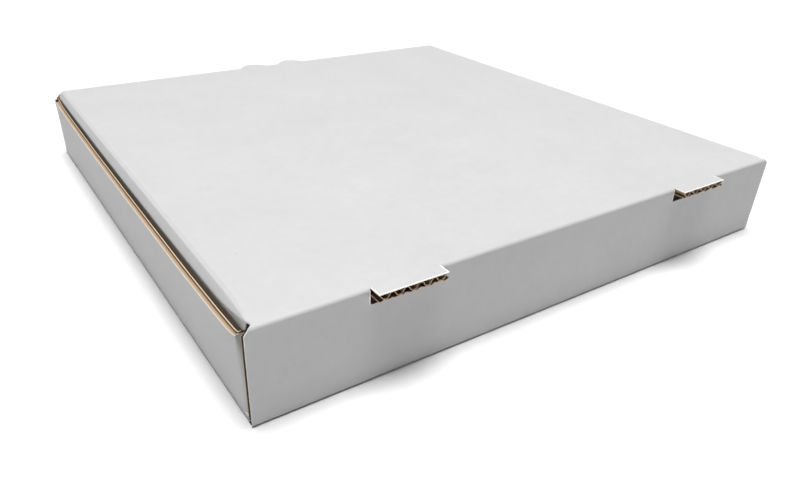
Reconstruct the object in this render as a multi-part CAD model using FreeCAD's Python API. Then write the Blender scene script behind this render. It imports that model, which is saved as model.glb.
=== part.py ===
import FreeCAD, Part
import math
import os

V = FreeCAD.Vector

# Shallow square box for one pizza, folded from a single die-cut sheet of
# corrugated board, white outside and bare brown inside.
# Millimetres, +Z up. +X is to the right seen from behind the box, +Y runs
# from the back wall (with the hinge fold) to the front wall (with the thumb tab).
# All positions below are measured from the back wall's left lower outer
# corner and are moved to the row frame at the end.

# ---- driving dimensions -------------------------------------------------
W = 311.0            # outer width across the back wall
H = 43.75            # outer height, table to the top of the lid
T = 3.2              # thickness of the corrugated board
TRAY_D = 317.4       # outer depth of the tray, back wall to front wall
BOTTOM_R = 1.8       # outer rounding of the folds round the base

SIDE_H = 37.3        # height of the side walls
GAP = 0.3            # air between panels that lie against each other
REAR_FLAP_L = 88.0   # corner flaps folded in behind the back wall
FRONT_FLAP_L = 49.0  # corner flaps folded in behind the front wall
FLAP_TOP = 36.9      # top edge of the corner flaps
FRONT_END = 0.9      # front wall ends this far inside the base's width
FRONT_H = 41.2       # height of the front wall
FRONT_DIP_H = 40.1   # its height under the thumb tab
BACK_H = 40.2        # top of the back wall, just under the hinge fold

# how far the top edge of each side wall has sprung outwards (+) at a given
# depth; the foot of the wall is straight
BOW = [(3.5, -1.9), (4.1, -0.9), (5.0, -0.2), (7.0, 0.7), (12.0, 1.4),
       (24.0, 1.9), (60.0, 2.3), (110.0, 2.4), (170.0, 2.3), (225.0, 2.1),
       (275.0, 1.3), (300.0, 0.7), (309.0, 0.1), (312.0, -0.8), (313.9, -2.4)]

PIVOT_Y = 0.75       # line on which the lid turns, inside the hinge fold
PIVOT_Z = 43.0

LID_INSET = 3.1      # outer face of the lid's side flaps, in from the base's side
LID_R = 3.0          # outer rounding of the lid's side folds
LID_REAR_INSET = 4.6 # the fold is notched back this far at its two ends
FLAP_START = 9.0     # rear end of the side flaps
LID_EDGE_Y = 309.3   # front cut edge of the lid
SIDE_FLAP_D = 26.0   # depth of the side flaps, measured from the lid's top
SIDE_FLAP_END = 306.0
FRONT_FOLD_Y = 310.6 # outer face of the lid's front flap
FRONT_FOLD_R = 2.2
FRONT_FLAP_D = 27.0
FRONT_FLAP_X = 54.0  # front flap starts this far from the side

TAB_X = 50.1         # two tabs left in the lid's plane when the back is folded
TAB_W = 32.2
TAB_TIP = -5.3       # the tabs stand out of the back wall to here
VENT_Z = 36.2       # lower edge of the hole that each tab leaves
VENT_SLACK = 0.4     # air on each side of a tab as it swings through the hole

LOBES = [(130.0, 150.5), (160.5, 181.0)]  # thumb tab: two rounded lobes
LOBE_TIP = 317.2
LOBE_R = 6.5
LOBE_HOLE = 9.0      # height of the gaps that the lobes leave in the front flap

X0 = W / 2.0                       # centre of the box
Y0 = (TAB_TIP + TRAY_D) / 2.0      # centre of its whole depth

LID_UNDER = H - T


def face(points):
    """A flat face through 3-D points."""
    return Part.Face(Part.makePolygon([V(*p) for p in points] + [V(*points[0])]))


def slab(x0, x1, y0, y1, z0, z1):
    return Part.makeBox(x1 - x0, y1 - y0, z1 - z0, V(x0, y0, z0))


def mirrored(shape):
    """The same feature on the other side of the box."""
    return shape.mirror(V(X0, 0, 0), V(1, 0, 0))


def wall_panel(outline, y0, y1):
    """A panel standing across the box: outline in X and Z, thickness in Y."""
    return face([(x, y0, z) for x, z in outline]).extrude(V(0, y1 - y0, 0))


def round_off(shape, a, b, r, inward):
    """Rounds the sharp edge from a to b. inward holds the two unit directions,
    square to the edge, that point into the two faces."""
    a, b, u, v = V(*a), V(*b), V(*inward[0]), V(*inward[1])
    run = b - a
    n = V(run.x, run.y, run.z)
    n.normalize()
    e = 0.5
    c = a + u * r + v * r
    m = a + (u + v) * (r - r / math.sqrt(2.0))
    p0, p1 = a + u * r, a + v * r
    out0, out1, out2 = p0 - v * e, a - u * e - v * e, p1 - u * e
    edges = [Part.Arc(p0, m, p1).toShape(), Part.makeLine(p1, out2),
             Part.makeLine(out2, out1), Part.makeLine(out1, out0), Part.makeLine(out0, p0)]
    tool = Part.Face(Part.Wire(edges)).extrude(run + n * 2 * e)
    tool.translate(n * -e)
    return shape.cut(tool)


# ---- tray ---------------------------------------------------------------
base = slab(0, W, 0, TRAY_D, 0, T)

tab_r0 = W - TAB_X - TAB_W
v0, v1 = TAB_X - VENT_SLACK, TAB_X + TAB_W + VENT_SLACK
w0, w1 = tab_r0 - VENT_SLACK, tab_r0 + TAB_W + VENT_SLACK
back = wall_panel([(0, 0), (W, 0), (W, 39.0), (W - 1.2, BACK_H),
                   (w1, BACK_H), (w1, VENT_Z), (w0, VENT_Z), (w0, BACK_H),
                   (v1, BACK_H), (v1, VENT_Z), (v0, VENT_Z), (v0, BACK_H),
                   (1.2, BACK_H), (0, 39.0)], 0, T)

lobe_lo, lobe_hi = LOBES[0][0] - 3.0, LOBES[1][1] + 3.0
front = wall_panel([(FRONT_END, 0), (W - FRONT_END, 0), (W - FRONT_END, 38.6),
                    (W - FRONT_END - 2.6, FRONT_H), (lobe_hi + 4.0, FRONT_H),
                    (lobe_hi, FRONT_DIP_H), (lobe_lo, FRONT_DIP_H),
                    (lobe_lo - 4.0, FRONT_H), (FRONT_END + 2.6, FRONT_H),
                    (FRONT_END, 38.6)], TRAY_D - T, TRAY_D)


def side_wall():
    """Left wall: straight foot, sprung top edge, rounded upright corners."""
    sections = []
    for y, out in BOW:
        foot = max(0.0, -out) if (y < 6 or y > 311) else 0.0
        inner_out = max(out, 0.0) if y < 7 else max(out, -0.6)
        section = [(foot, 0.0), (T, 0.0), (T - inner_out, SIDE_H), (-out, SIDE_H)]
        sections.append(Part.makePolygon([V(x, y, z) for x, z in section]
                                         + [V(section[0][0], y, section[0][1])]))
    return Part.makeLoft(sections, True, True)


def corner_flap(y0, y1, x_from, length):
    """A flap turned in from the end of a side wall, with a tapered free end."""
    z0 = T + GAP
    return wall_panel([(x_from, z0), (length - 9.0, z0), (length - 2.5, z0 + 2.0),
                       (length, z0 + 6.0), (length, FLAP_TOP - 5.0),
                       (length - 1.5, FLAP_TOP - 1.5), (length - 5.0, FLAP_TOP),
                       (x_from, FLAP_TOP)], y0, y1)


left = side_wall()
rear_flap = corner_flap(T + GAP, 2 * T + GAP, 2.0, REAR_FLAP_L)
front_flap = corner_flap(TRAY_D - 2 * T - GAP, TRAY_D - T - GAP, 2.7, FRONT_FLAP_L)
left = left.fuse([rear_flap, front_flap])
right = mirrored(left)

tray = base.fuse([back, front, left, right]).removeSplitter()
tray = round_off(tray, (0, 0, 0), (W, 0, 0), BOTTOM_R, ((0, 1, 0), (0, 0, 1)))
tray = round_off(tray, (0, TRAY_D, 0), (W, TRAY_D, 0), BOTTOM_R, ((0, -1, 0), (0, 0, 1)))
tray = round_off(tray, (0, 0, 0), (0, TRAY_D, 0), BOTTOM_R, ((1, 0, 0), (0, 0, 1)))
tray = round_off(tray, (W, 0, 0), (W, TRAY_D, 0), BOTTOM_R, ((-1, 0, 0), (0, 0, 1)))

# ---- lid ----------------------------------------------------------------
lo, hi = LID_INSET, W - LID_INSET
flap_z = H - SIDE_FLAP_D


def arc(cx, cz, r, a0, a1, n=1):
    """Arc edge in the XZ plane between two angles in degrees."""
    pt = lambda a: V(cx + r * math.cos(math.radians(a)), 0, cz + r * math.sin(math.radians(a)))
    return Part.Arc(pt(a0), pt((a0 + a1) / 2.0), pt(a1)).toShape()


def line(x0, z0, x1, z1):
    return Part.makeLine(V(x0, 0, z0), V(x1, 0, z1))


# top panel with its two side flaps: one section run along the depth
section = Part.Wire([
    line(lo, flap_z, lo, H - LID_R),
    arc(lo + LID_R, H - LID_R, LID_R, 180, 90),
    line(lo + LID_R, H, hi - LID_R, H),
    arc(hi - LID_R, H - LID_R, LID_R, 90, 0),
    line(hi, H - LID_R, hi, flap_z),
    line(hi, flap_z, hi - T, flap_z),
    line(hi - T, flap_z, hi - T, LID_UNDER),
    line(hi - T, LID_UNDER, lo + T, LID_UNDER),
    line(lo + T, LID_UNDER, lo + T, flap_z),
    line(lo + T, flap_z, lo, flap_z)])
top = Part.Face(section).extrude(V(0, SIDE_FLAP_END - FLAP_START, 0))
top.translate(V(0, FLAP_START, 0))

# the side flaps' free ends slope at the front and have their corners cut
for x in (lo - 1.0, hi - T - 1.0):
    slope = face([(x, SIDE_FLAP_END + 1, LID_UNDER), (x, SIDE_FLAP_END, LID_UNDER),
                  (x, SIDE_FLAP_END - 7.0, 33.0), (x, SIDE_FLAP_END - 13.0, 22.0),
                  (x, SIDE_FLAP_END - 18.0, flap_z), (x, SIDE_FLAP_END - 18.0, flap_z - 1),
                  (x, SIDE_FLAP_END + 1, flap_z - 1)]).extrude(V(T + 2.0, 0, 0))
    nick = face([(x, FLAP_START - 1, flap_z - 1), (x, FLAP_START + 6, flap_z - 1),
                 (x, FLAP_START + 6, flap_z), (x, FLAP_START + 2, flap_z + 2),
                 (x, FLAP_START, flap_z + 6), (x, FLAP_START - 1, flap_z + 6)]).extrude(V(T + 2.0, 0, 0))
    top = top.cut(slope).cut(nick)

# strip along the hinge fold, rounded where it turns down, between the tabs
rear_r = 2.2


def rear_strip(x0, x1):
    y = lambda a: V(x0, rear_r - rear_r * math.sin(math.radians(a)), H - rear_r + rear_r * math.cos(math.radians(a)))
    wire = Part.Wire([
        Part.Arc(y(90), y(45), y(0)).toShape(),
        Part.makeLine(y(0), V(x0, FLAP_START + 1, H)),
        Part.makeLine(V(x0, FLAP_START + 1, H), V(x0, FLAP_START + 1, LID_UNDER)),
        Part.makeLine(V(x0, FLAP_START + 1, LID_UNDER), V(x0, 0, LID_UNDER)),
        Part.makeLine(V(x0, 0, LID_UNDER), y(90))])
    return Part.Face(wire).extrude(V(x1 - x0, 0, 0))


strip_lo, strip_hi = LID_REAR_INSET, W - LID_REAR_INSET
pieces = [rear_strip(strip_lo, TAB_X), rear_strip(TAB_X + TAB_W, tab_r0),
          rear_strip(tab_r0 + TAB_W, strip_hi)]
for x in (TAB_X, tab_r0):
    pieces.append(slab(x, x + TAB_W, TAB_TIP, FLAP_START + 1, LID_UNDER, H))

# front edge of the panel, its flap tucked inside the front wall, thumb tab
pieces.append(slab(lo + 1.6, hi - 1.6, SIDE_FLAP_END - 1, LID_EDGE_Y, LID_UNDER, H))
fy, fr = FRONT_FOLD_Y, FRONT_FOLD_R
fx0, fx1 = FRONT_FLAP_X, W - FRONT_FLAP_X
fz = H - FRONT_FLAP_D
a = lambda d: V(fx0, fy - fr + fr * math.cos(math.radians(d)), H - fr + fr * math.sin(math.radians(d)))
profile = Part.Wire([
    Part.makeLine(V(fx0, LID_EDGE_Y - 4, H), a(90)),
    Part.Arc(a(90), a(45), a(0)).toShape(),
    Part.makeLine(a(0), V(fx0, fy, fz)),
    Part.makeLine(V(fx0, fy, fz), V(fx0, fy - T, fz)),
    Part.makeLine(V(fx0, fy - T, fz), V(fx0, fy - T, LID_UNDER)),
    Part.makeLine(V(fx0, fy - T, LID_UNDER), V(fx0, LID_EDGE_Y - 4, LID_UNDER)),
    Part.makeLine(V(fx0, LID_EDGE_Y - 4, LID_UNDER), V(fx0, LID_EDGE_Y - 4, H))])
apron = Part.Face(profile).extrude(V(fx1 - fx0, 0, 0))
for x_end, s in ((fx0, 1.0), (fx1, -1.0)):
    snip = face([(x_end - s, fy - T - 1, fz - 1), (x_end + s * 16, fy - T - 1, fz - 1),
                 (x_end + s * 16, fy - T - 1, fz), (x_end + s * 6, fy - T - 1, fz + 3),
                 (x_end + s * 1.5, fy - T - 1, fz + 10), (x_end, fy - T - 1, fz + 16),
                 (x_end - s, fy - T - 1, fz + 16)]).extrude(V(0, T + 2, 0))
    apron = apron.cut(snip)
for x0, x1 in LOBES:
    apron = apron.cut(slab(x0 - 0.2, x1 + 0.2, fy - T - 1, fy + 1, H - T - LOBE_HOLE, H + 1))
pieces.append(apron)
for x0, x1 in LOBES:
    lobe = slab(x0, x1, LID_EDGE_Y - 4, LOBE_TIP, LID_UNDER, H)
    tips = [e for e in lobe.Edges
            if abs(e.BoundBox.YMin - LOBE_TIP) < 1e-6 and e.BoundBox.ZLength > T - 0.1]
    pieces.append(lobe.makeFillet(LOBE_R, tips))

lid = top.fuse(pieces).removeSplitter()

# ---- to the row frame, and out ------------------------------------------
os.makedirs("parts", exist_ok=True)
for name, shape in (("tray", tray), ("lid", lid)):
    shape = shape.copy()
    shape.translate(V(-X0, -Y0, 0))
    solids = shape.Solids
    bb = shape.BoundBox
    print(name, "valid", shape.isValid(), "solids", len(solids),
          "volume cm3 %.1f" % (shape.Volume / 1000.0),
          "box %.2f %.2f %.2f / %.2f %.2f %.2f" % (bb.XMin, bb.YMin, bb.ZMin, bb.XMax, bb.YMax, bb.ZMax))
    assert len(solids) == 1 and shape.isValid()
    solids[0].exportStep("parts/%s.step" % name)
print("pivot in the row frame: y %.3f z %.3f" % (PIVOT_Y - Y0, PIVOT_Z))
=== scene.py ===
import math

import bpy
import bmesh
import numpy as np
from mathutils import Matrix, Vector


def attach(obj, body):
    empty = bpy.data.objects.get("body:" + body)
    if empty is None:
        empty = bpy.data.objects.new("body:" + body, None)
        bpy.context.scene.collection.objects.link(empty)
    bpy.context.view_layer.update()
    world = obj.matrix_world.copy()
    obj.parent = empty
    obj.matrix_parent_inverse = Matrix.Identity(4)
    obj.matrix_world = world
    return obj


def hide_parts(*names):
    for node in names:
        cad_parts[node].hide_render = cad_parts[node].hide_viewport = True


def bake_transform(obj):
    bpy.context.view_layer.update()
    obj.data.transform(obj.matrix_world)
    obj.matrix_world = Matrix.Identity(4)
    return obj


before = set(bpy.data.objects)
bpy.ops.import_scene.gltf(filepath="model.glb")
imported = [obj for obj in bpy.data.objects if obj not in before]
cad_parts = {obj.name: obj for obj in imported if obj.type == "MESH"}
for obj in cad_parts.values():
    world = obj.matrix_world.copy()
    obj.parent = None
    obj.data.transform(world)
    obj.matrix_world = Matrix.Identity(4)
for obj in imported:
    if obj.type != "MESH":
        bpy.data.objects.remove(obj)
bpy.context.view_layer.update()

# Everything below is written in millimetres from the back wall's left lower
# outer corner (+X along the back wall, +Y towards the front wall, +Z up) and
# goes to the row frame, in metres, when a mesh is made.
X0, Y0 = 155.5, 156.05

# ---- driving dimensions ---------------------------------------------------
W = 311.0
H = 43.75
T = 3.2
TRAY_D = 317.4
BOTTOM_R = 1.8
LINER = 0.36            # thickness of each flat sheet
FLUTE_T = 0.24          # thickness of the wavy sheet between them
PITCH = 178.6 / 28.0    # one wave of the board

WALL_TOP = 37.3         # side walls
FLAP_TOP = 36.9         # corner flaps
FRONT_END = 0.9
FRONT_H = 41.2
FRONT_DIP = 40.1
VENT_Z = 36.8           # the back wall's own sheet ends here, the hinge fold goes on
SEAM_Y = 4.5            # where the hinge fold passes into the lid

TAB_X, TAB_W, TAB_TIP = 50.1, 32.2, -5.3
TAB_R0 = W - TAB_X - TAB_W
VENT_SLACK = 0.35

FRONT_FOLD_Y, FRONT_FOLD_R = 310.6, 2.2
FRONT_FLAP_X, FRONT_FLAP_Z = 54.0, 16.75
LID_EDGE_Y = 309.3
SIDE_END_Y = 306.0
LOBES = [(130.0, 150.5), (160.5, 181.0)]
LOBE_TIP, LOBE_HOLE_Z = 317.2, 31.55
FLAP_Z = 17.75

EDGE = 0.45             # width of the strip along a cut that is painted near-white as a highlight of the broken edge


def interp(x, table):
    xs, ys = zip(*table)
    return np.interp(x, xs, ys)


def smooth(x, a, b):
    t = np.clip((np.asarray(x, float) - a) / (b - a), 0.0, 1.0)
    return t * t * (3 - 2 * t)


# ---- meshes -----------------------------------------------------------------
# painted highlight: the sixth material is near-white and goes on cut edges and the strip beside them
# painted shade: the seventh material is a dark brown for the liners' faces inside the flutes
WHITE, EDGE_CREAM, KRAFT, EDGE_KRAFT, FLUTE, EDGE_HIGHLIGHT, HOLLOW_SHADE = range(7)


class Shells:
    """Collects closed thin shells: each layer of the board is one of them."""

    def __init__(self):
        self.verts, self.faces, self.mats, self.count = [], [], [], 0

    def layer(self, low, high, mask, low_mat, high_mat, wall_mat, highlight_mask=None):
        nu, nv = low.shape[:2]
        used = np.zeros((nu, nv), bool)
        used[:-1, :-1] |= mask
        used[1:, :-1] |= mask
        used[:-1, 1:] |= mask
        used[1:, 1:] |= mask
        number = -np.ones((nu, nv), int)
        number[used] = np.arange(int(used.sum()))
        n = int(used.sum())
        self.verts.append(low[used])
        self.verts.append(high[used])
        a = number + self.count
        b = number + self.count + n
        self.count += 2 * n

        def add(quads, mat):
            if len(quads):
                self.faces.append(np.asarray(quads))
                self.mats.append(np.full(len(quads), mat) if np.isscalar(mat) else np.asarray(mat))

        i, j = np.nonzero(mask)
        # white-face cells along a cut take the near-white painted highlight
        add(np.stack([b[i, j], b[i + 1, j], b[i + 1, j + 1], b[i, j + 1]], 1),
            high_mat if highlight_mask is None else np.where(highlight_mask[i, j], EDGE_HIGHLIGHT, high_mat))
        add(np.stack([a[i, j], a[i, j + 1], a[i + 1, j + 1], a[i + 1, j]], 1), low_mat)
        pad = np.zeros((nu + 1, nv + 1), bool)
        pad[1:-1, 1:-1] = mask
        here = pad[1:-1, 1:-1]
        i, j = np.nonzero(here & ~pad[:-2, 1:-1])
        add(np.stack([a[i, j], b[i, j], b[i, j + 1], a[i, j + 1]], 1), wall_mat)
        i, j = np.nonzero(here & ~pad[2:, 1:-1])
        add(np.stack([a[i + 1, j], a[i + 1, j + 1], b[i + 1, j + 1], b[i + 1, j]], 1), wall_mat)
        i, j = np.nonzero(here & ~pad[1:-1, :-2])
        add(np.stack([a[i, j], a[i + 1, j], b[i + 1, j], b[i, j]], 1), wall_mat)
        i, j = np.nonzero(here & ~pad[1:-1, 2:])
        add(np.stack([a[i, j + 1], b[i, j + 1], b[i + 1, j + 1], a[i + 1, j + 1]], 1), wall_mat)

    def mesh(self, name):
        verts = np.concatenate(self.verts)
        faces = np.concatenate(self.faces)
        mats = np.concatenate(self.mats)
        verts = (verts - np.array([X0, Y0, 0.0])) / 1000.0
        me = bpy.data.meshes.new(name)
        me.from_pydata(verts.tolist(), [], faces.tolist())
        me.polygons.foreach_set("material_index", mats.astype(np.int32))
        bm = bmesh.new()
        bm.from_mesh(me)
        bmesh.ops.recalc_face_normals(bm, faces=bm.faces[:])
        bm.to_mesh(me)
        bm.free()
        me.polygons.foreach_set("use_smooth", [True] * len(me.polygons))
        me.set_sharp_from_angle(angle=math.radians(38))
        me.update()
        return me


def wave(phase):
    """Rounded flutes with steep flanks, between -1 and 1."""
    return (np.sin(phase) + 0.13 * np.sin(3 * phase)) / 0.87


def samples(lo, hi, step, extra=()):
    """Sample positions from lo to hi at about step, through every value in extra."""
    marks = sorted({round(x, 6) for x in (lo, hi, *[e for e in extra if lo < e < hi])})
    out = []
    for a, b in zip(marks[:-1], marks[1:]):
        n = max(1, int(round((b - a) / step)))
        out.extend(a + (b - a) * k / n for k in range(n))
    return np.array(out + [marks[-1]])


def board(shells, u_flat, u_wave, v, place, mask, phase, marks=True, hollow=0.0, cut=EDGE_HIGHLIGHT):
    """Three layers of one panel. place(u, v, w) gives the point at depth w from
    the brown side; mask(u, v) says which cells exist; phase(u) runs the flutes;
    marks(u, v) says where the strip along a cut gets the near-white painted highlight
    of its broken edge; the wavy sheet stops short of both ends of the panel by the
    length given as hollow."""

    def grid(us, w):
        uu, vv = np.meshgrid(us, v, indexing="ij")
        ww = np.broadcast_to(np.asarray(w, float).reshape(-1, 1) if np.ndim(w) else w, uu.shape)
        return place(uu, vv, ww)

    def cells(us):
        uc, vc = (us[:-1] + us[1:]) / 2, (v[:-1] + v[1:]) / 2
        a, b = np.meshgrid(uc, vc, indexing="ij")
        return mask(a, b)

    m = cells(u_flat)
    uc, vc = (u_flat[:-1] + u_flat[1:]) / 2, (v[:-1] + v[1:]) / 2
    thin_u = np.diff(u_flat) < EDGE + 0.2
    thin_v = np.diff(v) < EDGE + 0.2
    pad = np.zeros((m.shape[0] + 2, m.shape[1] + 2), bool)
    pad[1:-1, 1:-1] = m
    near_u = (~pad[:-2, 1:-1] | ~pad[2:, 1:-1]) & thin_u[:, None]
    near_v = (~pad[1:-1, :-2] | ~pad[1:-1, 2:]) & thin_v[None, :]
    # cells along a cut get the painted highlight: a near-white strip
    highlight_cells = None
    if marks:
        highlight_cells = near_u | near_v
        if marks is not True:
            highlight_cells = highlight_cells & marks(*np.meshgrid(uc, vc, indexing="ij"))
    # painted shade: both liners' faces towards the flutes get a dark brown in place of their own colour, for the shade
    # inside the hollows
    shells.layer(grid(u_flat, T - LINER), grid(u_flat, T), m, HOLLOW_SHADE, WHITE, cut, highlight_cells)
    shells.layer(grid(u_flat, 0.0), grid(u_flat, LINER), m, KRAFT, HOLLOW_SHADE, EDGE_KRAFT)
    rise = (T - 2 * LINER - FLUTE_T) / 2 + 0.03
    k = np.gradient(np.asarray(phase(u_wave), float), u_wave)
    c = T / 2 + rise * wave(phase(u_wave))
    slope = rise * k * (np.cos(phase(u_wave)) + 0.39 * np.cos(3 * phase(u_wave))) / 0.87
    half = np.minimum(FLUTE_T / 2 * np.sqrt(1 + slope ** 2), 0.42)
    lo = np.maximum(c - half, LINER - 0.04)
    hi = np.minimum(c + half, T - LINER + 0.04)
    mw = cells(u_wave)
    if hollow:
        uw = (u_wave[:-1] + u_wave[1:]) / 2
        mw = mw & ((uw > u_wave[0] + hollow) & (uw < u_wave[-1] - hollow))[:, None]
    shells.layer(grid(u_wave, lo), grid(u_wave, hi), mw, FLUTE, FLUTE, FLUTE)


def along_x(u):
    return 2 * math.pi * (u - TAB_X) / PITCH + 0.1 * math.pi + math.pi / 2


def profile(out, inn, shift=None):
    """Panel swept along X from a section in YZ: out and inn are its two lines,
    row by row. shift(x, row) may move the point's X and Y."""
    out, inn = np.array(out, float), np.array(inn, float)

    def place(u, v, w):
        r = np.arange(len(out))
        yo, zo = np.interp(v, r, out[:, 0]), np.interp(v, r, out[:, 1])
        yi, zi = np.interp(v, r, inn[:, 0]), np.interp(v, r, inn[:, 1])
        x = u
        if shift is not None:
            x, yo, zo, yi, zi = shift(u, v, yo, zo, yi, zi)
        f = w / T
        return np.stack([x + 0 * f, yi + (yo - yi) * f, zi + (zo - zi) * f], -1)

    return place


def rounded_ends(x, r=0.55):
    """How far the white sheet is pressed in at a cut end of the back wall."""
    d = np.minimum(np.abs(x), np.abs(W - x))
    d = np.clip(d, 0, r)
    return r - np.sqrt(np.maximum(r * r - (r - d) ** 2, 0))


END_MARKS = [0.06, 0.18, 0.34, 0.55, 1.0]
END_MARKS = END_MARKS + [W - m for m in END_MARKS]

# ---- tray ---------------------------------------------------------------------
tray = Shells()
FLAT, FINE = 24.0, PITCH / 14

# back wall and the strip of the base that it folds out of
ARC = [math.radians(a) for a in (90, 75, 60, 45, 30, 15, 0)]
out = [(0, VENT_Z), (0, 30), (0, 20), (0, 10), (0, 4)]
inn = [(T, VENT_Z), (T, 30), (T, 20), (T, 10), (T, 4.2)]
for a in ARC:
    out.append((BOTTOM_R - BOTTOM_R * math.sin(a), BOTTOM_R - BOTTOM_R * math.cos(a)))
    inn.append((T + 0.6 - 0.6 * math.sin(a), T + 0.6 - 0.6 * math.cos(a)))
out += [(3.4, 0), (6.0, 0)]
inn += [(4.4, T), (6.0, T)]
last = len(out) - 1


def press(u, v, yo, zo, yi, zi):
    d = rounded_ends(u) * (v < 5.5)
    # under the vents the cut slopes down on the inside
    vent = sum((u > x - VENT_SLACK - 0.01) & (u < x + TAB_W + VENT_SLACK + 0.01) for x in (TAB_X, TAB_R0)) > 0
    return u, yo + d, zo, yi, zi - 3.4 * vent * (v < 0.5)


VENT_MARKS = [x + e for x in (TAB_X, TAB_R0) for e in (-VENT_SLACK - 0.03, -VENT_SLACK,
                                                      TAB_W + VENT_SLACK, TAB_W + VENT_SLACK + 0.03)]


rows = np.arange(len(out), dtype=float)
board(tray, samples(0, W, FLAT, END_MARKS + VENT_MARKS + [3.25, W - 3.25]),
      samples(0, W, FINE, END_MARKS + VENT_MARKS + [3.25, W - 3.25]), rows,
      profile(out, inn, press),
      lambda u, v: (v < last - 1) | ((u > 3.25) & (u < W - 3.25)), along_x, marks=False, hollow=6.0)

# front wall, its top edge lower under the thumb tab, and its strip of base
LOBE_LO, LOBE_HI = LOBES[0][0] - 3.0, LOBES[1][1] + 3.0
FRONT_TOP = [(FRONT_END, 36.9), (FRONT_END + 1.0, 38.1), (FRONT_END + 3.6, 40.4), (FRONT_END + 6.0, FRONT_H),
             (LOBE_LO - 4, FRONT_H), (LOBE_LO, FRONT_DIP), (LOBE_HI, FRONT_DIP), (LOBE_HI + 4, FRONT_H),
             (W - FRONT_END - 6.0, FRONT_H), (W - FRONT_END - 3.6, 40.4), (W - FRONT_END - 1.0, 38.1),
             (W - FRONT_END, 36.9)]
out = [(TRAY_D, 41.2), (TRAY_D, 41.2 - EDGE), (TRAY_D, 32), (TRAY_D, 20), (TRAY_D, 10), (TRAY_D, 4)]
inn = [(TRAY_D - T, 41.2), (TRAY_D - T, 41.2 - EDGE), (TRAY_D - T, 32), (TRAY_D - T, 20),
       (TRAY_D - T, 10), (TRAY_D - T, 4.2)]
for a in ARC:
    out.append((TRAY_D - BOTTOM_R + BOTTOM_R * math.sin(a), BOTTOM_R - BOTTOM_R * math.cos(a)))
    inn.append((TRAY_D - T - 0.6 + 0.6 * math.sin(a), T + 0.6 - 0.6 * math.cos(a)))
out += [(314.0, 0), (311.4, 0)]
inn += [(313.0, T), (311.4, T)]
last_f = len(out) - 1


def front_shape(u, v, yo, zo, yi, zi):
    top = interp(u, FRONT_TOP)
    drop = (FRONT_H - top) * np.where(v <= 1, 1.0, np.clip(2.0 - v, 0, 1))
    # the ends stand back a little beside the side walls' top
    back = 0.7 * smooth(zo - drop, 27, 36)
    x = u + back * np.clip(1 - (u - FRONT_END) / 14.0, 0, 1) - back * np.clip(1 - (W - FRONT_END - u) / 14.0, 0, 1)
    return x, yo, zo - drop, yi, zi - drop


rows = np.arange(len(out), dtype=float)
marks_f = [x for x, z in FRONT_TOP] + [3.25, W - 3.25, 15.0, W - 15.0]
board(tray, samples(FRONT_END, W - FRONT_END, FLAT, marks_f),
      samples(FRONT_END, W - FRONT_END, FINE, marks_f), rows,
      profile(out, inn, front_shape),
      lambda u, v: (v < last_f - 1) | ((u > 3.25) & (u < W - 3.25)), along_x, marks=False, cut=EDGE_CREAM)

# how far each side wall's top edge has sprung outwards
BOW = [(3.0, -0.2), (6.3, 0.5), (9.0, 1.1), (11.0, 1.45), (18.0, 1.7), (26.0, 1.9), (58.0, 2.34),
       (98.0, 2.38), (146.0, 2.38), (208.0, 2.2), (268.0, 1.6), (283.0, 1.4), (299.6, 0.95),
       (310.0, 0.4), (314.0, 0.0)]


def wall_x(y, z):
    return -interp(y, BOW) * np.clip(z / WALL_TOP, 0, 1) ** 1.15


# base, with the folds that turn up into the side walls
BR = BOTTOM_R
ARC_L = BR * math.pi / 2
JOIN_Z = 3.6
fold_u = [-(ARC_L + JOIN_Z - BR), -ARC_L, -ARC_L * 5 / 6, -ARC_L * 4 / 6, -ARC_L * 3 / 6,
          -ARC_L * 2 / 6, -ARC_L / 6, 0.0]
FOLD_U = np.array([BR + f for f in fold_u])          # flat coordinate, ends at X = BR


def base_place(u, v, w):
    mirror = u > W / 2
    s = np.where(mirror, W - u, u)
    a = np.clip((BR - s) / ARC_L, 0, 1) * math.pi / 2
    up = np.clip(BR - ARC_L - s, 0, None)
    xo = np.where(s >= BR, s, BR - BR * np.sin(a))
    zo = np.where(s >= BR, 0.0, BR - BR * np.cos(a) + up)
    ri = 0.6
    span = np.clip((BR + 3.0 - s) / 3.0, 0, 1)
    xi = np.where(s >= BR + 3.0, s, np.where(s >= BR, s + (T + ri - BR) * span * 0 + (T + ri - BR) * span,
                                            T + ri - ri * np.sin(a)))
    zi = np.where(s >= BR, T, T + ri - ri * np.cos(a) + up * 0.0)
    zi = np.where(up > 0, np.maximum(zi, JOIN_Z + 0.2), zi)
    lean = wall_x(v, zo) * (zo > 0.01)
    xo = xo + lean
    xi = xi + lean
    f = w / T
    x = xi + (xo - xi) * f
    z = zi + (zo - zi) * f
    return np.stack([np.where(mirror, W - x, x), v + 0 * x, z], -1)


base_marks = list(FOLD_U[1:]) + [W - f for f in FOLD_U[1:]] + [3.0, 4.8, W - 3.0, W - 4.8]
u_lo, u_hi = float(FOLD_U[0]), float(W - FOLD_U[0])
y_rows = samples(3.6, 313.8, 26.0, [6.0, 311.4, 9, 11, 18, 26, 58, 98, 146, 208, 268, 283, 299.6])
board(tray, samples(u_lo, u_hi, FLAT, base_marks), samples(u_lo, u_hi, FINE, base_marks), y_rows,
      base_place,
      lambda u, v: ((v > 6.0) & (v < 311.4)) | (u < BR) | (u > W - BR), along_x, marks=False)


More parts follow.
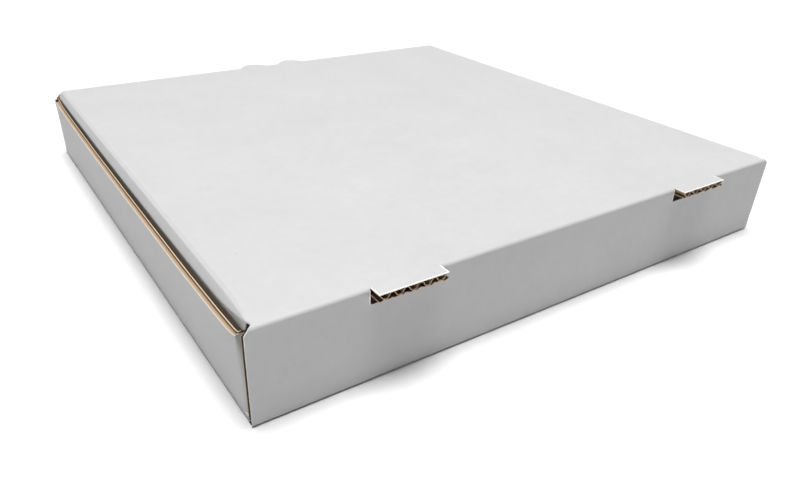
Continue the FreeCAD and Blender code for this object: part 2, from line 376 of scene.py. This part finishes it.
# side walls with their corner flaps: one strip each, flutes lying level
def wall_path():
    """Rows along the wall in plan: kind, then its number."""
    rows = []
    for x in (88.0, 87.0, 85.0, 82.0, 79.0, 64.0, 40.0, 24.0, 12.0, 8.0, 6.0, 4.4, 3.0, 2.2):
        rows.append(("rear", x))
    for a in (0, 15, 30, 45, 60, 75, 90):
        rows.append(("rear_turn", a))
    for y in (7.6, 9.2, 11.0, 14.0, 18.0, 26.0, 40.0, 58.0, 78.0, 98.0, 122.0, 146.0, 177.0, 208.0,
              238.0, 268.0, 283.0, 299.6, 306.0, 310.0):
        rows.append(("wall", y))
    for a in (0, 15, 30, 45, 60, 75, 90):
        rows.append(("front_turn", a))
    for x in (2.8, 6.0, 12.0, 24.0, 40.0, 43.0, 46.0, 48.0, 49.0):
        rows.append(("front", x))
    return rows


PATH = wall_path()
TURN_R = 1.5


def turn_r(z):
    """The rear corner is rounder below its crushed top."""
    return 1.0 + 2.2 * (1 - smooth(z, 32, 37))


def rear_y(z):
    """The corner's fold leans: it stands further in at the top."""
    return 3.45 + 2.85 * smooth(z, 22, 37.3)


def rear_bulge(x, z):
    return interp(x, [(0.8, 0.75), (1.8, 1.1), (3.0, 1.87), (4.8, 3.15), (8, 3.9), (14, 3.6), (40, 2.0),
                      (88, 0.5)]) * smooth(z, 12, 36)


def wall_t(z):
    """The board is pressed a little thinner along the walls' cut top."""
    return T - 0.58 * smooth(z, 29, 36.5)


def corner_t(x):
    """Crushed at the corner's fold."""
    return interp(x, [(2.2, 1.9), (5.0, 1.95), (14.0, T)])


def wall_place(mirror):
    def place(u, v, w):
        x = np.zeros_like(u)
        y = np.zeros_like(u)
        z = u.copy()
        f = w / T
        for n, (kind, q) in enumerate(PATH):
            at = np.abs(v - n) < 1e-6
            if not at.any():
                continue
            h, g = u[at], f[at]
            if kind in ("rear", "front"):
                free, run = (88.0, 9.0) if kind == "rear" else (49.0, 7.0)
                e = np.clip((q - (free - run)) / run, 0, 1)
                lo = JOIN_Z + 6.0 * e ** 2
                hi = FLAP_TOP - 5.0 * e ** 3 - (2.4 * float(smooth(q, 20, 44)) if kind == "rear" else 0.0)
                h = lo + (h - JOIN_Z) / (WALL_TOP - JOIN_Z) * (hi - lo)
            ry = rear_y(h)
            if kind == "rear":
                yo = ry + rear_bulge(q, h)
                px, py = np.full_like(h, q), yo + (1 - g) * corner_t(q)
            elif kind == "rear_turn":
                a = math.radians(q)
                tr = turn_r(h)
                xw = wall_x(ry + tr, h)
                ox, oy = xw + tr - tr * math.sin(a), ry + tr - tr * math.cos(a)
                ri = 0.35
                ix = xw + wall_t(h) + ri - ri * math.sin(a)
                iy = ry + corner_t(2.2) + ri - ri * math.cos(a)
                blend = rear_bulge(2.2, h) * (1 - q / 90.0)
                px, py = ix + (ox - ix) * g, iy + (oy - iy) * g + blend
            elif kind == "wall":
                px, py = wall_x(q, h) + (1 - g) * wall_t(h), np.full_like(h, q)
                if q < 10:
                    py = np.maximum(py, ry + corner_t(2.2) + 0.4) * (1 - g) + np.maximum(py, ry + turn_r(h) + 0.05) * g
            elif kind == "front_turn":
                a = math.radians(q)
                xw = wall_x(313.9 - TURN_R, h)
                reach = 2.5 * smooth(h, 28, 36.5) * (1 - math.sin(a))
                ox, oy = xw + TURN_R - TURN_R * math.cos(a), 313.9 - TURN_R + TURN_R * math.sin(a) + reach
                ri = 0.25
                ix, iy = xw + wall_t(h) + ri - ri * math.cos(a), 313.9 - T - ri + ri * math.sin(a) + reach
                px, py = ix + (ox - ix) * g, iy + (oy - iy) * g
            else:
                px, py = np.full_like(h, q), 313.9 - (1 - g) * T
            x[at], y[at], z[at] = px, py, h
        if mirror:
            x = W - x
        return np.stack([x, y, z], -1)

    return place


def level(u):
    """Flutes of the side walls: cut so that the wavy sheet starts at the brown
    side and slopes out to the white one."""
    return -0.60 * math.pi + 2 * math.pi * (WALL_TOP - u) / PITCH


z_marks = [WALL_TOP - EDGE]
rows = np.arange(len(PATH), dtype=float)
for mirror in (False, True):
    board(tray, samples(JOIN_Z, WALL_TOP, 8.0, z_marks), samples(JOIN_Z, WALL_TOP, FINE, z_marks), rows,
          wall_place(mirror), lambda u, v: np.ones_like(u, bool), level, marks=False, cut=EDGE_CREAM)

# ---- lid -------------------------------------------------------------------------
lid = Shells()
R_NOM = 3.0
L_ARC = R_NOM * math.pi / 2
TOP_L = 3.1 + R_NOM                      # the flat coordinate where the fold starts
ARC_END = TOP_L - L_ARC
FLAP_LEN = H - R_NOM - FLAP_Z
U_LO = ARC_END - FLAP_LEN

# where the flat top ends, where the flap hangs at its top and at its lower end,
# along the depth, for the left and the right side
RIDGE = ([(4.5, 2.95), (10.6, 4.1), (18, 5.4), (26, 5.7), (309, 5.7)],
         [(4.5, 2.3), (18, 2.8), (60, 3.1), (200, 4.7), (300, 5.8), (309, 5.8)])
FLAP_X = ([(4.5, 2.75), (12, 2.6), (26, 2.25), (60, 2.0), (100, 1.9), (150, 1.9), (200, 1.95), (270, 2.2),
           (300, 2.4), (309, 2.6)],
          [(4.5, 2.15), (60, 2.0), (200, 2.1), (270, 2.3), (300, 2.4), (309, 2.6)])
FLAP_LOW = ([(4.5, 3.45), (200, 3.5), (270, 4.0), (309, 4.4)],
            [(4.5, 3.45), (200, 3.5), (270, 4.0), (309, 4.4)])
REAR_END = [(17.75, 17.2), (19.75, 13.6), (23.75, 12.5), (36.95, 12.4), (37.15, 8.6), (39.0, 6.7),
            (41.0, 5.5), (42.2, 4.7), (43.0, 4.5), (43.75, 4.5)]
FRONT_ENDS = [(17.75, 288.0), (22.0, 293.0), (33.0, 303.0), (37.0, 308.0), (39.0, 309.1), (43.75, 309.3)]
FOLD_AT = [k / 14 for k in range(15)]


def fold_lines(ridge, flap):
    """Outer and inner line of a side fold: flat top, shoulder, steep band, flap."""
    k = np.clip((ridge - flap) / 2.95, 0.05, 1.0)
    sx = ridge - 1.66 * k
    sx = np.maximum(sx, flap + 0.04)
    sz = H - 0.885 * k
    p = [(ridge, H + 0 * k), (sx, sz), (flap, sz - 1.9 * (sx - flap))]

    def towards(a, b, most):
        dx, dz = b[0] - a[0], b[1] - a[1]
        n = np.sqrt(dx * dx + dz * dz) + 1e-9
        f = np.minimum(most, most * 0.9 * n) / n
        f = np.minimum(f, 0.45)
        return a[0] + dx * f, a[1] + dz * f

    def corner(before, at, after):
        return 0.25 * before[0] + 0.5 * at[0] + 0.25 * after[0], 0.25 * before[1] + 0.5 * at[1] + 0.25 * after[1]

    e0p, e0 = (ridge + 0.45, p[0][1]), (ridge + 0.25, p[0][1])
    e1, e1p = towards(p[0], p[1], 0.25), towards(p[0], p[1], 0.40)
    e2p, e2 = towards(p[1], p[0], 0.36), towards(p[1], p[0], 0.20)
    e3, e3p = towards(p[1], p[2], 0.20), towards(p[1], p[2], 0.36)
    e4p, e4 = towards(p[2], p[1], 0.55), towards(p[2], p[1], 0.35)
    e5, e5p = (p[2][0], p[2][1] - 0.35), (p[2][0], p[2][1] - 0.55)
    outer = [e0p, e0, corner(e0, p[0], e1), e1, e1p, e2p, e2, corner(e2, p[1], e3), e3, e3p,
             e4p, e4, corner(e4, p[2], e5), e5, e5p]
    inner = []
    for a in FOLD_AT:
        r = a * math.pi / 2
        inner.append((flap + T + 0.9 - 0.9 * math.sin(r), H - T - 0.9 + 0.9 * math.cos(r) + 0 * k))
    return outer, inner


def along(line, a):
    x, z = np.zeros_like(a), np.zeros_like(a)
    for k in range(len(FOLD_AT) - 1):
        lo, hi = FOLD_AT[k], FOLD_AT[k + 1]
        here = (a >= lo) if k == 0 else (a > lo)
        t = np.clip((a - lo) / (hi - lo), 0, 1)
        x = np.where(here, line[k][0] + (line[k + 1][0] - line[k][0]) * t, x)
        z = np.where(here, line[k][1] + (line[k + 1][1] - line[k][1]) * t, z)
    return x, z


def lobe_tip(x):
    tip = np.full_like(x, LID_EDGE_Y)
    for a, b in LOBES:
        t = (2 * x - a - b) / (b - a)
        reach = 0.15 + (LOBE_TIP - LID_EDGE_Y - 0.15) * np.maximum(1 - t * t, 0)
        tip = np.where((x > a - 1e-6) & (x < b + 1e-6), LID_EDGE_Y + reach, tip)
    return tip


def lid_place(u, v, w):
    mirror = u > W / 2
    s = np.where(mirror, W - u, u)
    f = w / T
    # the row's place along the depth, first as on the flat top
    part = np.clip((v - SEAM_Y) / (SIDE_END_Y - SEAM_Y), 0, 1)
    inside = (v >= SEAM_Y) & (v <= SIDE_END_Y)
    yy = v.copy()
    ridge = np.where(mirror, interp(yy, RIDGE[1]), interp(yy, RIDGE[0]))
    flap = np.where(mirror, interp(yy, FLAP_X[1]), interp(yy, FLAP_X[0]))
    low = np.where(mirror, interp(yy, FLAP_LOW[1]), interp(yy, FLAP_LOW[0]))
    outer, inner = fold_lines(ridge, flap)
    a = np.clip((TOP_L - s) / L_ARC, 0, 1)
    down = np.clip((ARC_END - s) / FLAP_LEN, 0, 1)
    xo, zo = along(outer, a)
    xi, zi = along(inner, a)
    # flat top, squeezed near the fold so that it starts where the fold does
    near = np.clip((22.0 - s) / (22.0 - TOP_L), 0, 1)
    xo = np.where(s >= TOP_L, s + (outer[0][0] - TOP_L) * near, xo) + down * (low - flap)
    xi = np.where(s >= TOP_L, s + (inner[0][0] - TOP_L) * near, xi) + down * (low - flap)
    zo = zo - down * (zo - FLAP_Z)
    zi = zi - down * (zi - FLAP_Z)
    zm = zi + (zo - zi) * f
    ys = np.where(s < TOP_L, interp(zm, REAR_END), SEAM_Y)
    ye = np.where(s < TOP_L, interp(zm, FRONT_ENDS), SIDE_END_Y)
    y = np.where(inside, ys + part * (ye - ys), yy)
    # beyond the front edge: the two lobes of the thumb tab, with rounded corners
    beyond = v > LID_EDGE_Y + 1e-6
    reach = (v - LID_EDGE_Y) / (LOBE_TIP - LID_EDGE_Y)
    y = np.where(beyond, LID_EDGE_Y + reach * (lobe_tip(s * 0 + u) - LID_EDGE_Y), y)
    x = xi + (xo - xi) * f
    uneven = 0.20 * np.sin(1.93 * u + 0.6) + 0.17 * np.sin(0.83 * u + 1.1) + 0.10 * np.sin(4.3 * u)
    zm = zm + uneven * np.clip((1.0 - v) / 5.0, 0, 1) * (1 - f)
    y = y + 0.8 * uneven * np.clip(-v / 5.0, 0, 1) * (1 - f)
    return np.stack([np.where(mirror, W - x, x), np.maximum(y, TAB_TIP), zm], -1)


def in_tabs(u):
    return ((u > TAB_X) & (u < TAB_X + TAB_W)) | ((u > TAB_R0) & (u < TAB_R0 + TAB_W))


def in_lobes(u):
    return sum(((u > a) & (u < b)) for a, b in LOBES) > 0


def lid_mask(u, v):
    top = (u > TOP_L) & (u < W - TOP_L)
    main = (v > SEAM_Y) & (v < SIDE_END_Y)
    tabs = (v < SEAM_Y) & in_tabs(u)
    strip = (v > SIDE_END_Y) & (v < LID_EDGE_Y) & top & \
            ((u < FRONT_FLAP_X) | (u > W - FRONT_FLAP_X) | in_lobes(u))
    lobes = (v > LID_EDGE_Y) & in_lobes(u)
    return main | tabs | strip | lobes


arc_marks = [TOP_L - L_ARC * k for k in FOLD_AT] + [TOP_L + 0.8, TOP_L + 2.5, 14.0, 22.0]
flap_marks = [ARC_END - FLAP_LEN * k for k in (0.03, 0.08, 0.14, 0.2, 0.28, 0.5, 0.75, 0.9, 0.95)]
cuts = [TAB_X, TAB_X + TAB_W, TAB_R0, TAB_R0 + TAB_W, FRONT_FLAP_X, W - FRONT_FLAP_X]
lobe_marks = []
for a, b in LOBES:
    lobe_marks += [a + (b - a) * k / 16 for k in range(17)]
side = arc_marks + flap_marks
lid_u = side + [W - s for s in side] + cuts + lobe_marks
inner_cuts = [a + 1.2 * k for a in (TAB_X, TAB_R0) for k in range(1, 27)] + [TAB_X + EDGE, TAB_X + TAB_W - EDGE, TAB_R0 + EDGE, TAB_R0 + TAB_W - EDGE]
v_rows = samples(TAB_TIP, LOBE_TIP, 30.0,
                 [TAB_TIP + EDGE, 0.0, 0.6, SEAM_Y, 5.2, 6.0, 8.0, 10.0, 14.0, 20.0, 28.0, 40.0, 60.0, 200.0, SIDE_END_Y,
                  LID_EDGE_Y - EDGE, LID_EDGE_Y, 311.5, 314.0, LOBE_TIP - EDGE])
board(lid, samples(U_LO, W - U_LO, FLAT, lid_u + inner_cuts),
      samples(U_LO, W - U_LO, FINE, lid_u), v_rows, lid_place, lid_mask, along_x,
      marks=lambda u, v: (v < 0.6) | (v > 20.0))

# front flap, folded down inside the front wall
fy, fr = FRONT_FOLD_Y, FRONT_FOLD_R
out = [(SIDE_END_Y, H), (fy - fr, H)]
inn = [(SIDE_END_Y, H - T), (fy - T - 0.5, H - T)]
for a in (15, 30, 45, 60, 75, 90):
    r = math.radians(a)
    out.append((fy - fr + fr * math.sin(r), H - fr + fr * math.cos(r)))
    inn.append((fy - T - 0.5 + 0.5 * math.sin(r), H - T - 0.5 + 0.5 * math.cos(r)))
for z in (LOBE_HOLE_Z, 28.0, 22.0, FRONT_FLAP_Z):
    out.append((fy, z))
    inn.append((fy - T, z))
n_rows = len(out)
SNIP = [(0.0, 16.0), (1.5, 10.0), (6.0, 3.0), (16.0, 0.0)]


def snipped(u, v, yo, zo, yi, zi):
    d = np.minimum(u - FRONT_FLAP_X, W - FRONT_FLAP_X - u)
    lift = interp(d, SNIP)
    low = FRONT_FLAP_Z + lift
    start = LOBE_HOLE_Z + 3.0
    k = np.clip((start - zo) / (start - FRONT_FLAP_Z), 0, 1)
    return u, yo, zo + lift * k ** 1.5, yi, zi + lift * k ** 1.5


fmarks = [a - 0.2 for a, b in LOBES] + [b + 0.2 for a, b in LOBES] + \
         [FRONT_FLAP_X + d for d in (0.7, 1.5, 3.5, 6.0, 10.0, 16.0)] + \
         [W - FRONT_FLAP_X - d for d in (0.7, 1.5, 3.5, 6.0, 10.0, 16.0)]


def in_holes(u):
    return sum(((u > a - 0.2) & (u < b + 0.2)) for a, b in LOBES) > 0


board(lid, samples(FRONT_FLAP_X, W - FRONT_FLAP_X, FLAT, fmarks),
      samples(FRONT_FLAP_X, W - FRONT_FLAP_X, FINE, fmarks), np.arange(n_rows, dtype=float),
      profile(out, inn, snipped), lambda u, v: ~(in_holes(u) & (v < 8.0)), along_x)

# ---- hinge fold: the back wall's top rolls over into the lid ----------------------
fold = Shells()
FR = 1.55
out = [(0, VENT_Z), (0, VENT_Z + EDGE), (0, 39.2), (0, 41.0), (0, H - FR)]
inn = [(T, VENT_Z), (T, VENT_Z + EDGE), (T, 38.6), (T, 39.4), (T, 39.9)]
for a in (11.25, 22.5, 33.75, 45, 56.25, 67.5, 78.75, 90):
    r = math.radians(a)
    out.append((FR - FR * math.cos(r), H - FR + FR * math.sin(r)))
    q = 0.6
    inn.append((T + q - q * math.cos(r), H - T - q + q * math.sin(r)))
out += [(2.1, H), (3.4, H), (SEAM_Y, H)]
inn += [(4.1, H - T), (4.4, H - T), (SEAM_Y, H - T)]
f_rows = len(out)
NOTCH = [(VENT_Z, 0.0), (41.0, 0.0), (41.9, 0.5), (43.5, 2.0), (43.75, 2.6)]


def fold_shape(x_lo, x_hi):
    def shift(u, v, yo, zo, yi, zi):
        # ends beside the corner notches are cut back on a slant
        cut = interp(zo, NOTCH) + 0.8 * smooth(yo, 0.9, 2.1) - 0.5 * smooth(yo, 3.9, 4.5)
        x = u
        # beyond their root the tabs and the fold are one sheet
        shut = VENT_SLACK * smooth(yo, 0.4, 0.9)
        for edge, sign in ((TAB_X - VENT_SLACK, 1), (TAB_X + TAB_W + VENT_SLACK, -1),
                           (TAB_R0 - VENT_SLACK, 1), (TAB_R0 + TAB_W + VENT_SLACK, -1)):
            x = x + sign * shut * np.clip(1 - np.abs(u - edge) / 6.0, 0, 1)
        if x_lo is not None:
            k = np.clip((14.0 - u) / 14.0, 0, 1)
            x = x + cut * k
        if x_hi is not None:
            k = np.clip((u - (W - 14.0)) / 14.0, 0, 1)
            x = x - cut * k
        d = rounded_ends(u, 0.45)
        # pressed in where it is cut, towards the sheet's middle
        gy, gz = yi - yo, zi - zo
        n = np.sqrt(gy ** 2 + gz ** 2) + 1e-9
        return x, yo + gy / n * d, zo + gz / n * d, yi, zi

    return shift


segments = [(0.0, TAB_X - VENT_SLACK, True, False),
            (TAB_X + TAB_W + VENT_SLACK, TAB_R0 - VENT_SLACK, False, False),
            (TAB_R0 + TAB_W + VENT_SLACK, W, False, True)]
rows = np.arange(f_rows, dtype=float)
for a, b, left_end, right_end in segments:
    extra = list(END_MARKS) + [0.45, W - 0.45, 4.0, 8.0, 14.0, W - 4, W - 8, W - 14]
    extra += [a + EDGE, b - EDGE]
    board(fold, samples(a, b, FLAT, extra), samples(a, b, FINE, END_MARKS + [14.0, W - 14.0]), rows,
          profile(out, inn, fold_shape(True if left_end else None, True if right_end else None)),
          lambda u, v: np.ones_like(u, bool), along_x, marks=lambda u, v: v < 6,
          hollow=6.0 if left_end or right_end else 0.0)


# ---- materials -----------------------------------------------------------------
def links(nt):
    def n(kind, **values):
        node = nt.nodes.new(kind)
        for k, val in values.items():
            setattr(node, k, val)
        return node

    return n, nt.links.new


def noise(n, link, coord, scale, detail=3.0, rough=0.55, stretch=None, seed=0.0):
    src = coord
    if stretch is not None or seed:
        m = n("ShaderNodeMapping")
        m.inputs["Scale"].default_value = stretch or (1, 1, 1)
        m.inputs["Location"].default_value = (seed, seed * 0.7, seed * 0.3)
        link(coord, m.inputs["Vector"])
        src = m.outputs["Vector"]
    t = n("ShaderNodeTexNoise")
    t.inputs["Scale"].default_value = scale
    t.inputs["Detail"].default_value = detail
    t.inputs["Roughness"].default_value = rough
    link(src, t.inputs["Vector"])
    return t.outputs["Fac"]


def math_node(n, link, op, a, b=None, c=None):
    m = n("ShaderNodeMath", operation=op)
    for k, val in enumerate((a, b, c)):
        if val is None:
            continue
        if isinstance(val, (int, float)):
            m.inputs[k].default_value = val
        else:
            link(val, m.inputs[k])
    return m.outputs[0]


def ramp(n, link, fac, stops):
    r = n("ShaderNodeValToRGB")
    el = r.color_ramp.elements
    while len(el) > 1:
        el.remove(el[-1])
    for k, (pos, col) in enumerate(stops):
        e = el[0] if k == 0 else el.new(pos)
        e.position = pos
        e.color = (*col, 1.0)
    link(fac, r.inputs["Fac"])
    return r.outputs["Color"]


def mix(n, link, kind, fac, a, b):
    m = n("ShaderNodeMix", data_type="RGBA", blend_type=kind)
    for sock, val in ((m.inputs[0], fac), (m.inputs[6], a), (m.inputs[7], b)):
        if isinstance(val, (int, float)):
            sock.default_value = val
        elif isinstance(val, tuple):
            sock.default_value = (*val, 1.0)
        else:
            link(val, sock)
    return m.outputs[2]


def paper(name, white, dim, washboard=None, rough=0.62):
    """Coated white sheet: soft cloudiness, fine tooth, a few fibres showing."""
    mat = bpy.data.materials.new(name)
    mat.use_nodes = True
    nt = mat.node_tree
    bsdf = nt.nodes["Principled BSDF"]
    n, link = links(nt)
    coord = n("ShaderNodeTexCoord").outputs["Object"]
    cloud = noise(n, link, coord, 22.0, 4.0, 0.6)
    blotch = noise(n, link, coord, 210.0, 3.0, 0.6, seed=0.31)
    tooth = noise(n, link, coord, 1500.0, 2.0, 0.6, seed=0.17)
    s = math_node(n, link, "MULTIPLY", cloud, 0.45)
    s = math_node(n, link, "MULTIPLY_ADD", blotch, 0.40, s)
    s = math_node(n, link, "MULTIPLY_ADD", tooth, 0.15, s)
    col = ramp(n, link, s, [(0.34, dim), (0.66, white)])
    # fibres that show through the coating: few, thin and short
    fib = n("ShaderNodeTexVoronoi", feature="F1")
    fib.inputs["Scale"].default_value = 1.0
    fm = n("ShaderNodeMapping")
    fm.inputs["Scale"].default_value = (150.0, 70.0, 110.0)
    fm.inputs["Rotation"].default_value = (0.3, 0.5, 0.6)
    link(coord, fm.inputs["Vector"])
    link(fm.outputs["Vector"], fib.inputs["Vector"])
    near = math_node(n, link, "LESS_THAN", fib.outputs["Distance"], 0.055)
    pick = n("ShaderNodeSeparateColor")
    link(fib.outputs["Color"], pick.inputs["Color"])
    some = math_node(n, link, "GREATER_THAN", pick.outputs["Red"], 0.80)
    spot = math_node(n, link, "MULTIPLY", near, some)
    spot = math_node(n, link, "MULTIPLY", spot, 0.22)
    col = mix(n, link, "MIX", spot, col, (0.30, 0.26, 0.22))
    link(col, bsdf.inputs["Base Color"])
    r = math_node(n, link, "MULTIPLY_ADD", blotch, 0.14, rough - 0.07)
    link(r, bsdf.inputs["Roughness"])
    bsdf.inputs["Specular IOR Level"].default_value = 0.32
    h = math_node(n, link, "MULTIPLY", tooth, 0.5)
    h = math_node(n, link, "MULTIPLY_ADD", blotch, 0.8, h)
    if washboard:
        sep = n("ShaderNodeSeparateXYZ")
        link(coord, sep.inputs[0])
        ax, off = washboard
        ang = math_node(n, link, "MULTIPLY_ADD", sep.outputs[ax], 2 * math.pi / (PITCH / 1000.0), off)
        sine = math_node(n, link, "SINE", ang)
        amount = math_node(n, link, "MULTIPLY", sine, 0.55)
        vary = math_node(n, link, "MULTIPLY", amount, cloud)
        h = math_node(n, link, "ADD", h, vary)
    bump = n("ShaderNodeBump")
    bump.inputs["Strength"].default_value = 0.35
    bump.inputs["Distance"].default_value = 0.00006
    link(h, bump.inputs["Height"])
    link(bump.outputs["Normal"], bsdf.inputs["Normal"])
    return mat


def kraft(name, light, dark, stretch, rough=0.85):
    """Bare brown paper: long fibres, flecks and a soft cloudiness."""
    mat = bpy.data.materials.new(name)
    mat.use_nodes = True
    nt = mat.node_tree
    bsdf = nt.nodes["Principled BSDF"]
    n, link = links(nt)
    coord = n("ShaderNodeTexCoord").outputs["Object"]
    cloud = noise(n, link, coord, 30.0, 4.0, 0.6)
    fibre = noise(n, link, coord, 420.0, 4.0, 0.65, stretch=stretch, seed=0.2)
    fleck = noise(n, link, coord, 1300.0, 2.0, 0.6, seed=0.5)
    s = math_node(n, link, "MULTIPLY", cloud, 0.30)
    s = math_node(n, link, "MULTIPLY_ADD", fibre, 0.45, s)
    s = math_node(n, link, "MULTIPLY_ADD", fleck, 0.25, s)
    col = ramp(n, link, s, [(0.32, dark), (0.68, light)])
    spots = ramp(n, link, fleck, [(0.66, (1, 1, 1)), (0.74, (0.62, 0.56, 0.50))])
    col = mix(n, link, "MULTIPLY", 0.6, col, spots)
    link(col, bsdf.inputs["Base Color"])
    r = math_node(n, link, "MULTIPLY_ADD", fibre, 0.12, rough - 0.06)
    link(r, bsdf.inputs["Roughness"])
    bsdf.inputs["Specular IOR Level"].default_value = 0.2
    h = math_node(n, link, "MULTIPLY", fibre, 0.8)
    h = math_node(n, link, "MULTIPLY_ADD", fleck, 0.5, h)
    bump = n("ShaderNodeBump")
    bump.inputs["Strength"].default_value = 0.5
    bump.inputs["Distance"].default_value = 0.00008
    link(h, bump.inputs["Height"])
    link(bump.outputs["Normal"], bsdf.inputs["Normal"])
    return mat


OFF_X = (2 * math.pi * (X0 - TAB_X) / PITCH + 0.6 * math.pi) % (2 * math.pi)
white = paper("white_sheet", (0.524, 0.523, 0.526), (0.484, 0.483, 0.488), washboard=(0, OFF_X))
cream_cut = paper("cream_cut_edge", (0.60, 0.55, 0.48), (0.52, 0.47, 0.40), rough=0.75)
# painted highlight: near-white, far lighter than the white sheet, for the light that a crushed cut edge catches
edge_highlight = paper("cut_edge_painted_highlight", (0.93, 0.925, 0.915), (0.85, 0.845, 0.83), rough=0.75)
# painted shade: a brown much darker than the bare brown sheet, for the hollows between the liners
hollow_shade = kraft("hollow_painted_shade", (0.150, 0.108, 0.070), (0.100, 0.072, 0.046), (1, 1, 1))
brown = kraft("brown_sheet", (0.420, 0.300, 0.190), (0.320, 0.220, 0.130), (0.35, 1.6, 1.0))
brown_cut = kraft("brown_cut_edge", (0.62, 0.48, 0.34), (0.48, 0.36, 0.24), (1, 1, 1))
flute = kraft("flute_sheet", (0.600, 0.455, 0.320), (0.450, 0.325, 0.215), (1.4, 0.4, 1.0))
SET = [white, cream_cut, brown, brown_cut, flute, edge_highlight, hollow_shade]


def piece(shells, name):
    me = shells.mesh(name)
    for m in SET:
        me.materials.append(m)
    ob = bpy.data.objects.new(name, me)
    bpy.context.scene.collection.objects.link(ob)
    return ob


tray_ob = piece(tray, "tray_board")
lid_ob = piece(lid, "lid_board")
fold_ob = piece(fold, "hinge_fold")
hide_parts("tray")
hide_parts("lid")
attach(tray_ob, "tray")
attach(lid_ob, "lid")


def row(x, y, z):
    return ((x - X0) / 1000.0, (y - Y0) / 1000.0, z / 1000.0)


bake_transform(fold_ob)

# ---- floor, light, camera ---------------------------------------------------------
scene = bpy.context.scene
scene.view_settings.view_transform = "Standard"
scene.view_settings.look = "None"
scene.view_settings.exposure = 0.0
scene.view_settings.gamma = 1.0

bm = bmesh.new()
bmesh.ops.create_grid(bm, x_segments=8, y_segments=8, size=6.0)
me = bpy.data.meshes.new("floor")
bm.to_mesh(me)
bm.free()
floor = bpy.data.objects.new("floor", me)
floor.location = (0, 0, -0.00002)
scene.collection.objects.link(floor)
fm = bpy.data.materials.new("floor_paint")
fm.use_nodes = True
fb = fm.node_tree.nodes["Principled BSDF"]
fb.inputs["Base Color"].default_value = (0.785, 0.785, 0.785, 1)
fb.inputs["Roughness"].default_value = 0.9
fb.inputs["Specular IOR Level"].default_value = 0.1
me.materials.append(fm)

world = bpy.data.worlds.new("studio")
scene.world = world
world.use_nodes = True
bg = world.node_tree.nodes["Background"]
bg.inputs["Strength"].default_value = 1.0
# a pale wall all round the horizon, dim above it: the panel overhead does the lighting
wn, wlink = links(world.node_tree)
height = wn("ShaderNodeSeparateXYZ")
wlink(wn("ShaderNodeTexCoord").outputs["Generated"], height.inputs[0])
wlink(ramp(wn, wlink, height.outputs[2], [(0.0, (1.0, 1.0, 1.0)), (0.05, (1.0, 1.0, 1.0)),
                                          (0.10, (0.05, 0.05, 0.05)), (1.0, (0.05, 0.05, 0.05))]),
      bg.inputs["Color"])


def area(name, at, aim, size, power, color=(1, 1, 1)):
    li = bpy.data.lights.new(name, "AREA")
    li.shape = "RECTANGLE"
    li.size, li.size_y = size
    li.energy = power
    li.color = color
    ob = bpy.data.objects.new(name, li)
    ob.location = at
    ob.rotation_mode = "QUATERNION"
    ob.rotation_quaternion = (Vector(aim) - Vector(at)).to_track_quat("-Z", "Y")
    scene.collection.objects.link(ob)
    return ob


sun = bpy.data.lights.new("sky_panel", "SUN")
sun.energy = 4.30
sun.angle = math.radians(34)
sun_ob = bpy.data.objects.new("sky_panel", sun)
sun_ob.rotation_mode = "QUATERNION"
sun_ob.rotation_quaternion = Vector((0.0, -0.035, -1.0)).to_track_quat("-Z", "Y")
scene.collection.objects.link(sun_ob)
area("near", (-0.03, -0.13, 0.85), (-0.03, -0.13, 0), (0.4, 0.25), 1.0)
area("left", (-1.6, 0.0, 0.45), (0, 0, 0), (0.8, 0.5), 0.5)

cam_data = bpy.data.cameras.new("camera")
cam = bpy.data.objects.new("camera", cam_data)
scene.collection.objects.link(cam)
FOCAL, CX, CY = 676.80, 390.73, 265.44
right = Vector((0.831814, -0.554255, 0.029777)).normalized()
fwd = Vector((0.490283, 0.708539, -0.507539)).normalized()
up = right.cross(fwd).normalized()
right = fwd.cross(up).normalized()
at = row(-63.46, -175.96, 177.22)
cam.matrix_world = Matrix(((right.x, up.x, -fwd.x, at[0]),
                           (right.y, up.y, -fwd.y, at[1]),
                           (right.z, up.z, -fwd.z, at[2]),
                           (0, 0, 0, 1)))
cam_data.sensor_fit = "HORIZONTAL"
cam_data.sensor_width = 36.0
cam_data.lens = FOCAL / 800.0 * 36.0
cam_data.shift_x = (400.0 - CX) / 800.0
cam_data.shift_y = (CY - 246.0) / 800.0
cam_data.clip_start = 0.01
cam_data.clip_end = 20.0
cam_data.dof.use_dof = False
scene.camera = cam
